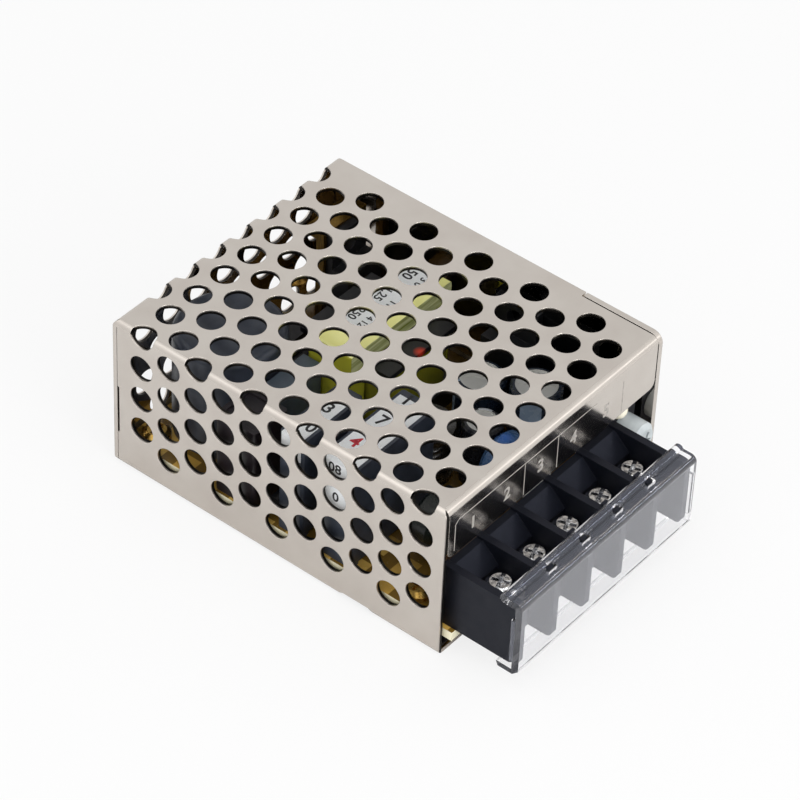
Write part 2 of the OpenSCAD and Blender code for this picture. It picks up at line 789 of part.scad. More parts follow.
// Space of the core's middle leg, with some play
module leg_space() {
  translate([-mid_leg / 2 - 0.08, -core_w / 2 - 0.08, board_z])
    cube([mid_leg + 0.16, core_w + 0.16, case_h]);
}

// Bobbin: sleeve over the middle leg, two flanges and two pin rails
module transformer_bobbin() {
  color("#1f1e20") translate([trafo_x, trafo_y, 0]) {
    difference() {
      union() {
        translate([-mid_leg / 2 - bobbin_t, -core_w / 2 - bobbin_t, bobbin_low])
          cube([mid_leg + 2 * bobbin_t, core_w + 2 * bobbin_t, bobbin_top - bobbin_low]);
        for (z = [bobbin_low, bobbin_top - bobbin_t])
          translate([-bobbin_l / 2, -bobbin_d / 2, z]) cube([bobbin_l, bobbin_d, bobbin_t]);
      }
      leg_space();
    }
    for (s = [-1, 1])
      translate([-bobbin_l / 2, s * (bobbin_d - rail_d) / 2 - rail_d / 2, board_top])
        cube([bobbin_l, rail_d, bobbin_low - board_top + 0.3]);
  }
}

// Yellow taped winding that fills the bobbin between its flanges
module transformer_winding() {
  z = bobbin_low + bobbin_t + 0.03;
  color("#d9c63a") translate([trafo_x, trafo_y, 0]) difference() {
    translate([0, 0, z])
      soft_block(window_l - 0.6, bobbin_d - 1.6, bobbin_top - bobbin_t - 0.03 - z, 3);
    translate([-mid_leg / 2 - bobbin_t - 0.05, -core_w / 2 - bobbin_t - 0.05, board_z])
      cube([mid_leg + 2 * bobbin_t + 0.1, core_w + 2 * bobbin_t + 0.1, case_h]);
  }
}

// Tape around the core, folded over the edges of its yokes and outer legs
module transformer_tape() {
  play = 0.03;
  l = core_l + 2 * tape_t + 2 * play;
  w = core_w + 2 * tape_t + 2 * play;
  h = core_h + 2 * tape_t + 2 * play;
  color("#e2d74e") translate([trafo_x, trafo_y, core_z - tape_t - play]) difference() {
    translate([0, w / 2, 0]) rotate([90, 0, 0]) linear_extrude(w) rounded(l, h, 0.5);
    translate([-core_l / 2 - play, -core_w / 2 - play, tape_t])
      cube([core_l + 2 * play, core_w + 2 * play, core_h + 2 * play]);
    translate([-window_l / 2, -w, core_leg + tape_t + play])
      cube([window_l, 2 * w, core_h - 2 * core_leg]);
  }
}

// Upright rectangle with rounded corners, centred on x, standing on y = 0
module rounded(w, h, r) {
  translate([-w / 2 + r, 0]) square([w - 2 * r, h]);
  translate([-w / 2, r]) square([w, h - 2 * r]);
  for (x = [-w / 2 + r, w / 2 - r]) for (y = [r, h - r]) translate([x, y]) circle(r);
}

// Upright block with rounded vertical edges, centred on x and y
module soft_block(l, w, h, r) {
  linear_extrude(h) translate([0, -w / 2]) rounded(l, w, r);
}

// White label on top of the taped core
module transformer_label() {
  color("#f0efe9") translate([trafo_x - core_l / 2 + 4.9, trafo_y - core_w / 2 + 1.4,
    core_top + tape_t + 0.03]) cube([core_l - 6.1, core_w - 1.8, 0.12]);
}

// Mains side

// Potted line filter in a flat topped square case
module line_filter() {
  color("#2a2c33") translate([filter_x, filter_y, board_top]) difference() {
    soft_block(filter_a, filter_a, filter_h, 0.6);
    translate([0, 0, filter_h - 0.4]) soft_block(filter_a - 1.6, filter_a - 1.6, 1, 0.3);
    for (s = [-1, 1]) translate([s * (filter_a / 2 - 2) - 0.8, -filter_a, -1])
      cube([1.6, 2 * filter_a, 1.5]);
  }
}

// Standing round capacitor in a shrunk sleeve, with a scored pressed lid
module round_capacitor(x, y, d, h, tone) {
  crimp_z = 1.4;
  color(tone) translate([x, y, board_top]) difference() {
    union() {
      cylinder(d = d, h = h - 0.4);
      translate([0, 0, h - 0.4]) cylinder(d1 = d, d2 = d - 0.8, h = 0.4);
    }
    translate([0, 0, crimp_z]) rotate_extrude() translate([d / 2 + 0.15, 0]) circle(0.5, $fn = 24);
    translate([0, 0, h - 0.25]) cylinder(d = d - 1.6, h = 1);
    for (a = [0, 90]) rotate([0, 0, a + 35])
      translate([-d * 0.36, -0.15, h - 0.4]) cube([d * 0.72, 0.3, 1]);
  }
}

// Large standing capacitor, its sleeve drawn over the rounded edge of the top
module bulk_capacitor() {
  r = 1.2;
  color("#2b2d35") translate([bulk_x, bulk_y, board_top]) rotate_extrude() difference() {
    union() {
      square([bulk_d / 2 - r, bulk_h]);
      square([bulk_d / 2, bulk_h - r]);
      translate([bulk_d / 2 - r, bulk_h - r]) circle(r);
    }
    translate([bulk_d / 2 + 0.15, 1.8]) circle(0.5, $fn = 24);
  }
}

// Boxed capacitor on two feet
module boxed(l, w) {
  difference() {
    soft_block(l, w, box_h, 0.5);
    translate([-l / 2 + 1.6, -w, -1]) cube([l - 3.2, 2 * w, 1.5]);
  }
}

// Label over the top of a boxed capacitor and down its left end
module boxed_label(l, w, drop) {
  t = 0.1;
  difference() {
    translate([-l / 2 - t, -w / 2 + 0.5, box_h - drop]) cube([l - 1.2, w - 1, drop + t]);
    translate([-l / 2, -w, 0]) cube([l, 2 * w, box_h]);
  }
}

module filter_capacitor() {
  color("#33363f") translate([boxcap_x, boxcap_y, board_top]) boxed(box_l, box_w);
}

module filter_capacitor_label() {
  color("#e6e6e2") translate([boxcap_x, boxcap_y, board_top]) boxed_label(box_l, box_w, 10);
}

module suppression_capacitor() {
  color("#33363f") translate([supp_x, supp_y, board_top]) boxed(supp_l, supp_w);
}

module suppression_capacitor_label() {
  color("#e6e6e2") translate([supp_x, supp_y, board_top]) boxed_label(supp_l, supp_w, 4);
}

// Flat bridge rectifier standing on its leads
module bridge_rectifier() {
  low = 4.2;
  h = 11;
  color("#26262a") translate([bridge_x, bridge_y, board_top]) {
    difference() {
      translate([-bridge_l / 2, -bridge_t / 2, low]) cube([bridge_l, bridge_t, h]);
      translate([-bridge_l / 2, -bridge_t, low + h - 1.6]) rotate([0, -45, 0])
        cube([3, 2 * bridge_t, 3]);
    }
    for (i = [0 : 3])
      translate([(i - 1.5) * 2.5 - 0.35, -0.25, 0]) cube([0.7, 0.5, low + 0.2]);
  }
}

module mains_fuse() {
  color("#4a3428") translate([fuse_x, fuse_y, board_top]) {
    translate([0, 0, 0.8]) soft_block(8.4, 4, 7, 0.5);
    for (s = [-1, 1]) translate([s * 2.54, 0, 0]) cylinder(d = 0.6, h = 1, $fn = 24);
  }
}

// Disc shaped part standing on two leads, broad faces to front and rear
module leaded_disc(d, t, tone) {
  edge = 0.8;
  low = 1.6;
  color(tone) {
    translate([0, t / 2, low + d / 2]) rotate([90, 0, 0]) {
      cylinder(d1 = d - 2 * edge, d2 = d, h = edge);
      translate([0, 0, edge]) cylinder(d = d, h = t - 2 * edge);
      translate([0, 0, t - edge]) cylinder(d1 = d, d2 = d - 2 * edge, h = edge);
    }
    for (s = [-1, 1]) {
      translate([s * d / 4, 0, 0]) cylinder(d = 0.6, h = low + d / 2, $fn = 24);
      translate([s * d / 4, 0, low - 0.7]) cylinder(d1 = 0.8, d2 = 2, h = 2, $fn = 24);
    }
  }
}

module inrush_limiter() {
  translate([ntc_x, ntc_y, board_top]) leaded_disc(9, 4, "#2e3a31");
}

// Upright transistor or diode case: body, metal tab and three leads
module tab_package() {
  w = 8;
  translate([-w / 2, 0, 5]) cube([w, 4.4, 9]);
  difference() {
    translate([-w / 2, 3.1, 13.9]) cube([w, 1.3, 6.2]);
    translate([0, 2, 17.2]) rotate([-90, 0, 0]) cylinder(d = 3.4, h = 4);
  }
  for (i = [-1 : 1]) translate([i * 2.54 - 0.4, 1.9, 0]) cube([0.8, 0.5, 5.1]);
}

module switching_transistor() {
  color("#232327") translate([sink_x, sink_y - 4.4, board_top]) tab_package();
}

// Plate heatsink with two legs in the board and a rib along its top
module plate_heatsink(left, right, h, rib) {
  w = right + left;
  difference() {
    union() {
      translate([-left, 0, 1]) cube([w, sink_t, h - 1]);
      translate([-left, 0, h - sink_t]) cube([w, sink_t + rib, sink_t]);
      for (x = [-left + 0.2, right - 2.2]) translate([x, 0, 0]) cube([2, sink_t, 1.1]);
    }
    translate([0, -1, 17.2]) rotate([-90, 0, 0]) cylinder(d = 3.2, h = sink_t + 2);
  }
}

module transistor_heatsink() {
  color("#1c1d20") translate([sink_x, sink_y, board_top]) plate_heatsink(4.6, 5.4, 20.5, 2.2);
}

module control_chip() {
  color("#222226") translate([chip_x, chip_y, board_top]) {
    translate([-4.8, -3.1, 0.7]) cube([9.6, 6.2, 3.2]);
    for (i = [0 : 3]) for (s = [-1, 1])
      translate([(i - 1.5) * 2.4 - 0.5, s * 3.6 - 0.15 - (s > 0 ? 0.4 : 0), 0])
        cube([1, 0.7, 2]);
  }
}

// Output side

module optocoupler() {
  color("#e9e7df") translate([opto_x, opto_y, board_top]) rotate([0, 0, 90]) {
    translate([-2.3, -3.1, 0.7]) cube([4.6, 6.2, 3.2]);
    for (i = [-1, 1]) for (s = [-1, 1])
      translate([i * 1.27 - 0.5, s * 3.6 - 0.15 - (s > 0 ? 0.4 : 0), 0]) cube([1, 0.7, 2]);
  }
}

module output_diode() {
  color("#232327") translate([diode_x, diode_y, board_top]) rotate([0, 0, -90])
    translate([0, -4.4, 0]) tab_package();
}

module diode_heatsink() {
  color("#b8babd") translate([diode_x, diode_y, board_top]) rotate([0, 0, -90])
    plate_heatsink(5, 13.5, 19.5, 1);
}

// Round choke wound with thick enamelled wire
module output_choke() {
  color("#8d8434") translate([choke_x, choke_y, board_top]) {
    cylinder(d = 9, h = 1);
    cylinder(d = 5, h = 9);
    for (i = [0 : 5]) translate([0, 0, 1.6 + i * 1.2]) rotate_extrude()
      translate([3.2, 0]) circle(0.62, $fn = 24);
    translate([0, 0, 8.2]) cylinder(d = 9, h = 1);
  }
}

module output_capacitor_1() {
  round_capacitor(out_x1, out_y1, out_d, out_h, "#2f3a4a");
}

module output_capacitor_2() {
  round_capacitor(out_x2, out_y2, out_d, out_h - 2.5, "#2f3a4a");
}

module auxiliary_capacitor() {
  round_capacitor(aux_x, aux_y, 6.3, 11, "#2b2c33");
}

module disc_capacitor() {
  translate([disc_x, disc_y, board_top]) leaded_disc(disc_d, disc_t, "#2f6fb0");
}

// Lying resistors: end caps, waist and bent leads
module resistors() {
  color("#b89a6c") for (p = resistor_at()) translate([p[0], p[1], board_top + 1.1])
    rotate([0, 0, p[2]]) {
      rotate([0, 90, 0]) translate([0, 0, -2.4]) cylinder(d = 1.7, h = 4.8, $fn = 24);
      for (s = [-1, 1]) {
        rotate([0, 90, 0]) translate([0, 0, s * 2.2 - 0.7]) cylinder(d = 2.1, h = 1.4, $fn = 24);
        rotate([0, 90, 0]) translate([0, 0, s > 0 ? 2.8 : -4.1]) cylinder(d = 0.5, h = 1.3, $fn = 24);
        translate([s * 3.9, 0, -1.1]) cylinder(d = 0.5, h = 1.35, $fn = 24);
      }
    }
}

module small_diodes() {
  color("#2a2527") for (p = diode_at()) translate([p[0], p[1], board_top + 1.4])
    rotate([0, 0, p[2]]) {
      rotate([0, 90, 0]) translate([0, 0, -2.2]) cylinder(d = 2.6, h = 4.4, $fn = 24);
      for (s = [-1, 1]) {
        rotate([0, 90, 0]) translate([0, 0, s > 0 ? 2 : -4]) cylinder(d = 0.6, h = 2, $fn = 24);
        translate([s * 3.8, 0, -1.4]) cylinder(d = 0.6, h = 1.7, $fn = 24);
      }
    }
}

folded_mesh_case();
side_plate();
case_screws();
insulating_film();
board_standoffs();
board_screws();
circuit_board();
solder_joints();
terminal_block();
contact_plate(1);  // contact_plate_1
contact_plate(2);  // contact_plate_2
contact_plate(3);  // contact_plate_3
contact_plate(4);  // contact_plate_4
contact_plate(5);  // contact_plate_5
clamp_washer(1);  // clamp_washer_1
clamp_washer(2);  // clamp_washer_2
clamp_washer(3);  // clamp_washer_3
clamp_washer(4);  // clamp_washer_4
clamp_washer(5);  // clamp_washer_5
terminal_screw(1);  // terminal_screw_1
terminal_screw(2);  // terminal_screw_2
terminal_screw(3);  // terminal_screw_3
terminal_screw(4);  // terminal_screw_4
terminal_screw(5);  // terminal_screw_5
terminal_cover();
trimmer_body();
trimmer_knob();
indicator_lamp();
transformer_core();
transformer_bobbin();
transformer_winding();
transformer_tape();
transformer_label();
line_filter();
bulk_capacitor();
filter_capacitor();
filter_capacitor_label();
suppression_capacitor();
suppression_capacitor_label();
bridge_rectifier();
mains_fuse();
inrush_limiter();
switching_transistor();
transistor_heatsink();
control_chip();
optocoupler();
output_diode();
diode_heatsink();
output_choke();
output_capacitor_1();
output_capacitor_2();
auxiliary_capacitor();
disc_capacitor();
resistors();
small_diodes();
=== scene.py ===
import bmesh
import bpy
from mathutils import Matrix, Vector


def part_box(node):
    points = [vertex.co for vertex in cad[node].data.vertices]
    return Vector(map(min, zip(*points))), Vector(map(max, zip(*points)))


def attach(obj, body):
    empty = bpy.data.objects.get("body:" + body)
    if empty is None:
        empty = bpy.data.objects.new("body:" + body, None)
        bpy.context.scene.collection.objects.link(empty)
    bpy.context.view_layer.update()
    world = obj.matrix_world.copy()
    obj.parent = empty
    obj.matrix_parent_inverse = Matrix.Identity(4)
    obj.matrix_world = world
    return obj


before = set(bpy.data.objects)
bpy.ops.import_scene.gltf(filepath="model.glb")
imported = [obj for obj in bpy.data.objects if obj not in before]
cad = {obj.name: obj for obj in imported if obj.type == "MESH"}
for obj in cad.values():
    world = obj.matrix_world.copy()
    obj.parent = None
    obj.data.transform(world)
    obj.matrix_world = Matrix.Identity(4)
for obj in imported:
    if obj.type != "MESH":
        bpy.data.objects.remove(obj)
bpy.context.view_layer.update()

MM = 0.001

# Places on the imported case, and the sizes of its sheet and its terminals
case_low, case_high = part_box("folded_mesh_case")
block_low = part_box("terminal_block")[0]
FLAP_HEIGHT = 9.5 * MM
FLAP_FACE = case_low.y
FLAP_FOOT = case_high.z - FLAP_HEIGHT
SHEET = 0.7 * MM
WAYS = 5
WAY_PITCH = 7.8 * MM
END_BARRIER = 0.6 * MM

# Radius at which a moulded edge catches the light
SOFT_EDGE = 0.12 * MM

# Print on the flap and the labels: its thickness, its gap to the face, its line and its figures
INK = 0.01 * MM
CLEAR_OF_FACE = 0.005 * MM
LINE = 0.16 * MM
FIGURE = 3.2 * MM
BOLDER = 0.02

X, Y, Z = Vector((1, 0, 0)), Vector((0, 1, 0)), Vector((0, 0, 1))


def tone(code):
    """The linear colour of an sRGB hex value."""
    parts = [int(code[i:i + 2], 16) / 255 for i in (1, 3, 5)]
    return (*[p / 12.92 if p <= 0.04045 else ((p + 0.055) / 1.055) ** 2.4 for p in parts], 1)


def node(tree, kind, inputs=None, **settings):
    """Adds a node, sets it up, and fills its sockets with values or with other nodes' outputs."""
    made = tree.nodes.new(kind)
    for name, value in settings.items():
        setattr(made, name, value)
    for socket, value in (inputs or {}).items():
        if isinstance(value, bpy.types.NodeSocket):
            tree.links.new(value, made.inputs[socket])
        else:
            made.inputs[socket].default_value = value
    return made


def begin(name, **sockets):
    """A material with one Principled shader, and the place on the object in metres."""
    finish = bpy.data.materials.new(name)
    finish.use_nodes = True
    tree = finish.node_tree
    shader = tree.nodes["Principled BSDF"]
    for socket, value in sockets.items():
        shader.inputs[socket.replace("_", " ")].default_value = value
    place = node(tree, "ShaderNodeTexCoord").outputs["Object"]
    return finish, tree, shader, place


def grain(tree, place, size, stretch=(1, 1, 1), detail=2.0, roughness=0.5):
    """Noise whose features are about size metres across, drawn out along an axis by stretch."""
    laid = node(tree, "ShaderNodeMapping", {"Vector": place, "Scale": stretch})
    return node(
        tree, "ShaderNodeTexNoise",
        {"Vector": laid.outputs[0], "Scale": 1 / size, "Detail": detail, "Roughness": roughness},
    ).outputs["Fac"]


def remap(tree, value, start, end, low=0.0, high=1.0):
    """Takes a value from the range start to end over to low to high, and stops there."""
    return node(
        tree, "ShaderNodeMapRange",
        {"Value": value, "From Min": start, "From Max": end, "To Min": low, "To Max": high},
    ).outputs["Result"]


def spread(tree, noise, low, high):
    """Lays noise, which keeps mostly between 0.3 and 0.7, out between two values."""
    return remap(tree, noise, 0.3, 0.7, low, high)


def blend_tones(tree, amount, first, second):
    """Goes from the first colour to the second as amount goes from 0 to 1. A colour is a hex
    value or another node's output."""
    first, second = [tone(c) if isinstance(c, str) else c for c in (first, second)]
    return node(
        tree, "ShaderNodeMix", {0: amount, 6: first, 7: second}, data_type="RGBA").outputs[2]


def mottle(tree, noise, dark, light):
    """Two close tones of one colour, in the places that noise gives them."""
    return blend_tones(tree, spread(tree, noise, 0, 1), dark, light)


def maths(tree, operation, first, second=0.0, third=0.0):
    """One sum or comparison on sockets or numbers."""
    return node(
        tree, "ShaderNodeMath", {0: first, 1: second, 2: third}, operation=operation).outputs[0]


def axes(tree, vector):
    """The X, Y and Z of a vector."""
    return node(tree, "ShaderNodeSeparateXYZ", {0: vector}).outputs


def true_normal(tree):
    """The X, Y and Z of the way that the true surface faces."""
    return axes(tree, node(tree, "ShaderNodeNewGeometry").outputs["True Normal"])


def facing_of(tree):
    """How far the true surface faces along X, Y and Z, from 0 to 1."""
    return [maths(tree, "ABSOLUTE", part) for part in true_normal(tree)]


def distance_from(tree, place, spot):
    """How far the surface is from a spot that is given in millimetres."""
    return node(
        tree, "ShaderNodeVectorMath", {0: place, 1: Vector(spot) * MM}, operation="DISTANCE",
    ).outputs["Value"]


def relief(tree, shader, height, depth, edge=0.0):
    """Bumps depth metres deep, over edges that look rounded to the radius edge."""
    inputs = {"Height": height, "Distance": depth, "Strength": 1.0}
    if edge:
        inputs["Normal"] = node(tree, "ShaderNodeBevel", {"Radius": edge}, samples=4).outputs[0]
    bump = node(tree, "ShaderNodeBump", inputs)
    tree.links.new(bump.outputs[0], shader.inputs["Normal"])


def feed(tree, shader, **sockets):
    """Links other nodes' outputs to the shader's sockets."""
    for socket, value in sockets.items():
        tree.links.new(value, shader.inputs[socket.replace("_", " ")])


# Materials


def nickel_plated_steel():
    """Cold rolled sheet with a thin bright nickel plating: a warm pale grey mirror, softened by
    the rolling grain that runs along the case and clouded a little by handling. The bends are
    stretched duller. The holes' walls are burnished by the punch near the face, and below that
    they are bare steel that the punch tore, painted near black as shade inside the holes."""
    finish, tree, shader, place = begin("nickel_plated_steel", Metallic=1.0)
    burnished_depth, fold_room, measuring_play = 0.24 * MM, 2 * MM, 0.05 * MM
    hole_dulling, bend_dulling, flap_dulling = 0.28, 0.26, 0.06
    rolled = grain(tree, place, 0.12 * MM, (1, 0.12, 1), 3)
    cloud = grain(tree, place, 5 * MM, detail=3)
    x, y, z = axes(tree, place)
    across, along, upright = facing_of(tree)
    left_of_plate = maths(tree, "LESS_THAN", x, case_high.x - fold_room)
    off_the_folds = maths(
        tree, "MULTIPLY", maths(tree, "GREATER_THAN", x, case_low.x + fold_room),
        maths(tree, "GREATER_THAN", z, fold_room))
    punched, torn_and_shaded = 0.0, 0.0
    for depth, facing_out, there in (
            (maths(tree, "SUBTRACT", case_high.z, z), upright, left_of_plate),
            (maths(tree, "SUBTRACT", x, case_low.x), across, 1.0),
            (maths(tree, "SUBTRACT", case_high.y, y), along, off_the_folds)):
        wall = maths(tree, "MULTIPLY", maths(tree, "LESS_THAN", facing_out, 0.3), there)
        in_sheet = maths(tree, "LESS_THAN", depth, SHEET + measuring_play)
        wall = maths(tree, "MULTIPLY", wall, in_sheet)
        deep = maths(tree, "MULTIPLY", wall, maths(tree, "GREATER_THAN", depth, burnished_depth))
        punched = maths(tree, "MAXIMUM", punched, wall)
        torn_and_shaded = maths(tree, "MAXIMUM", torn_and_shaded, deep)
    flattest = maths(tree, "MAXIMUM", maths(tree, "MAXIMUM", across, along), upright)
    bent = remap(tree, flattest, 0.9995, 0.97)
    on_flap_face = maths(tree, "LESS_THAN", y, FLAP_FACE + 0.1 * MM)
    flap = maths(tree, "MULTIPLY", on_flap_face, flap_dulling)
    dulled = maths(tree, "MAXIMUM", maths(tree, "MULTIPLY", punched, hole_dulling),
                   maths(tree, "MULTIPLY", bent, bend_dulling))
    satin = spread(tree, grain(tree, place, 1.5 * MM, (1, 0.3, 1), 3), 0.07, 0.11)
    plated = mottle(tree, cloud, "#CFC7BF", "#D6CFC7")
    # Painted shade: the hole walls below the burnished band are near black.
    feed(
        tree, shader,
        Base_Color=blend_tones(tree, torn_and_shaded, plated, "#35322F"),
        Roughness=maths(tree, "ADD", maths(tree, "ADD", satin, dulled), flap),
    )
    relief(tree, shader, rolled, 0.0008 * MM, 0.14 * MM)
    return finish


def zinc_plated_steel():
    """Turned and pressed screws and washers with clear zinc and fine turning marks: bright shards
    beside dark ones, painted into the colour as glints and dark reflections."""
    finish, tree, shader, place = begin("zinc_plated_steel", Metallic=1.0)
    marks = grain(tree, place, 0.7 * MM, detail=2)
    # Painted glints: the colour's mottle runs from dark grey to near white.
    feed(
        tree, shader,
        Base_Color=mottle(tree, marks, "#74757A", "#E4E4E4"),
        Roughness=spread(tree, grain(tree, place, 0.6 * MM), 0.06, 0.16),
    )
    relief(tree, shader, marks, 0.07 * MM, 0.1 * MM)
    return finish


def turned_brass():
    """Standoffs and board screws of turned brass, a little tarnished."""
    finish, tree, shader, place = begin("turned_brass", Metallic=1.0)
    marks = grain(tree, place, 0.5 * MM, detail=3)
    feed(
        tree, shader,
        Base_Color=mottle(tree, marks, "#9C7A38", "#D2AE62"),
        Roughness=spread(tree, marks, 0.24, 0.36),
    )
    relief(tree, shader, marks, 0.01 * MM, 0.1 * MM)
    return finish


def tinned_brass():
    """Stamped contact plates with tin: a soft white metal, satin from the tin's fine crystals."""
    finish, tree, shader, place = begin("tinned_brass", Metallic=1.0)
    crystals = grain(tree, place, 0.3 * MM, detail=4)
    feed(
        tree, shader,
        Base_Color=mottle(tree, crystals, "#BFBBB2", "#DDDAD2"),
        Roughness=spread(tree, crystals, 0.26, 0.42),
    )
    relief(tree, shader, crystals, 0.003 * MM, 0.1 * MM)
    return finish


def black_moulded_polyester():
    """Glass-filled polyester moulded in a spark-eroded tool: near black with a blue cast, its
    matt skin dotted with fine glitter."""
    finish, tree, shader, place = begin(
        "black_moulded_polyester", IOR=1.5, Specular_IOR_Level=0.32, Specular_Tint=tone("#C9CFEA"))
    skin = grain(tree, place, 0.22 * MM, detail=3, roughness=0.6)
    feed(
        tree, shader,
        Base_Color=mottle(tree, skin, "#06070C", "#0D0F16"),
        Roughness=spread(tree, grain(tree, place, 2 * MM), 0.4, 0.5),
    )
    relief(tree, shader, skin, 0.006 * MM, SOFT_EDGE)
    return finish


def clear_polycarbonate():
    """Moulded polycarbonate: clear with a cool cast, a little milky on its front panel."""
    finish, tree, shader, place = begin(
        "clear_polycarbonate", IOR=1.57, Base_Color=tone("#FDFDFF"),
        Specular_Tint=tone("#D6DDF6"))
    flow = grain(tree, place, 6 * MM, (0.3, 1, 1), 2)
    panel = maths(tree, "GREATER_THAN", facing_of(tree)[1], 0.9)
    feed(
        tree, shader,
        Roughness=spread(tree, flow, 0.01, 0.04),
        Transmission_Weight=maths(tree, "SUBTRACT", 0.99, maths(tree, "MULTIPLY", panel, 0.04)),
    )
    relief(tree, shader, flow, 0.008 * MM)
    return finish


def dyed_plastic(name, dark, light, rough):
    """Coloured moulded or dipped plastic: two close tones of one dye and a fine skin."""
    finish, tree, shader, place = begin(name, IOR=1.53)
    skin = grain(tree, place, 0.3 * MM, detail=3)
    feed(
        tree, shader,
        Base_Color=mottle(tree, grain(tree, place, 2.4 * MM), dark, light),
        Roughness=spread(tree, skin, rough - 0.05, rough + 0.06),
    )
    relief(tree, shader, skin, 0.004 * MM, SOFT_EDGE)
    return finish


def dipped_blue_epoxy():
    """Dipped epoxy, slate blue, with a painted highlight of saturated blue round one spot."""
    finish, tree, shader, place = begin("dipped_blue_epoxy", IOR=1.53)
    # Painted highlight: saturated blue within 0.6 mm of this spot, slate blue beyond 1.8 mm.
    painted_highlight_spot = (2.9, -20.2, 15.3)
    away_from_highlight = remap(tree, distance_from(tree, place, painted_highlight_spot), 0.6 * MM, 1.8 * MM)
    skin = grain(tree, place, 0.8 * MM, detail=3)
    feed(
        tree, shader,
        Base_Color=blend_tones(tree, away_from_highlight, "#2266C2", "#3E5A7E"),
        Roughness=spread(tree, skin, 0.2, 0.34),
    )
    relief(tree, shader, skin, 0.02 * MM, SOFT_EDGE)
    return finish


def sintered_ferrite():
    """Pressed and fired ferrite: charcoal grey, stony, with ground spots that shine faintly."""
    finish, tree, shader, place = begin("sintered_ferrite", IOR=2.2)
    pores = grain(tree, place, 0.35 * MM, detail=5, roughness=0.7)
    feed(
        tree, shader,
        Base_Color=mottle(tree, pores, "#1E1E21", "#3B3A3C"),
        Roughness=spread(tree, pores, 0.45, 0.65),
    )
    relief(tree, shader, pores, 0.02 * MM, 0.15 * MM)
    return finish


def polyester_tape(name, dark, light, run, top, end, painted_shade_right):
    """Layers of yellow polyester film tape: lemon and glossy, streaked by the creases of its
    turns, partly painted highlight. Painted light makes it smooth and brightest on top; painted
    shade makes it plain and deeper in colour low down and at its left end, and dark on its right
    side."""
    finish, tree, shader, place = begin(name, IOR=1.6)
    # Crease streaks: real creases in the bump, and in the colour partly painted highlight and
    # painted shade.
    creases = grain(tree, place, 1.3 * MM, run, 3, 0.6)
    x, _, z = true_normal(tree)
    # Painted shade low down: the streaks give way to the end colour from 20.6 mm down to 19.4 mm.
    streaks_end, painted_shade_full_below = 20.6 * MM, 19.4 * MM
    painted_shade_low = remap(tree, axes(tree, place)[2], streaks_end, painted_shade_full_below)
    turns = blend_tones(tree, painted_shade_low, mottle(tree, creases, dark, light), end)
    # Painted shade on faces turned to -X, and painted light on faces turned up.
    with_painted_shade_left = blend_tones(tree, maths(tree, "LESS_THAN", x, -0.5), turns, end)
    smooth = blend_tones(tree, maths(tree, "GREATER_THAN", z, 0.7), with_painted_shade_left, top)
    feed(
        tree, shader,
        # Painted shade: faces turned to +X take the dark colour.
        Base_Color=blend_tones(tree, maths(tree, "GREATER_THAN", x, 0.5), smooth, painted_shade_right),
        Roughness=spread(tree, grain(tree, place, 1.5 * MM), 0.12, 0.24),
    )
    relief(tree, shader, creases, 0.09 * MM, 0.3 * MM)
    return finish


def paper_label():
    """Coated white label paper, smooth, with the faint cloud of its fibres."""
    finish, tree, shader, place = begin("paper_label", IOR=1.5)
    fibres = grain(tree, place, 0.2 * MM, detail=4)
    feed(
        tree, shader,
        Base_Color=mottle(tree, fibres, "#EBEEF0", "#F8FAFB"),
        Roughness=spread(tree, fibres, 0.4, 0.55),
    )
    relief(tree, shader, fibres, 0.003 * MM)
    return finish


def lacquered_laminate():
    """Paper and resin circuit laminate: golden lacquer with darker tracks on its faces, going dark
    brown as painted shade away from the left edge, and the bare cream of the sawn board on its
    edges."""
    finish, tree, shader, place = begin("lacquered_laminate", IOR=1.55)
    tracks = node(
        tree, "ShaderNodeTexBrick",
        {"Vector": place, "Scale": 1 / (22 * MM), "Mortar Size": 0.06, "Mortar Smooth": 0.1,
         "Color1": tone("#C79E4A"), "Color2": tone("#D8B25C"), "Mortar": tone("#7A5E24")},
        offset=0.37, squash=0.6, squash_frequency=3,
    ).outputs["Color"]
    sawn = maths(tree, "LESS_THAN", facing_of(tree)[2], 0.5)
    weave = grain(tree, place, 0.4 * MM, detail=3)
    # Painted shade: the board goes brown from x = -19 mm to -13 mm, away from its lit left edge.
    painted_shade_inwards = remap(tree, axes(tree, place)[0], -19 * MM, -13 * MM)
    tracks_in_painted_shade = blend_tones(tree, painted_shade_inwards, tracks, "#5A441C")
    feed(
        tree, shader,
        Base_Color=blend_tones(tree, sawn, tracks_in_painted_shade, "#F0EACC"),
        Roughness=spread(tree, weave, 0.16, 0.28),
    )
    relief(tree, shader, weave, 0.004 * MM, 0.1 * MM)
    return finish


def dull_solder():
    """Wave-soldered joints: tin grey, half bright, with frozen ripples."""
    finish, tree, shader, place = begin("dull_solder", Metallic=1.0)
    ripples = grain(tree, place, 0.5 * MM, detail=3)
    feed(
        tree, shader,
        Base_Color=mottle(tree, ripples, "#8F8F8C", "#C6C5C1"),
        Roughness=spread(tree, ripples, 0.22, 0.4),
    )
    relief(tree, shader, ripples, 0.02 * MM)
    return finish


def anodised_aluminium(name, dark, light, rough):
    """Sheet aluminium, drawn along its length: fine straight lines under the oxide."""
    finish, tree, shader, place = begin(name, Metallic=0.9)
    drawn = grain(tree, place, 0.15 * MM, (1, 1, 0.08), 3)
    feed(
        tree, shader,
        Base_Color=mottle(tree, drawn, dark, light),
        Roughness=spread(tree, drawn, rough, rough + 0.12),
    )
    relief(tree, shader, drawn, 0.002 * MM, SOFT_EDGE)
    return finish


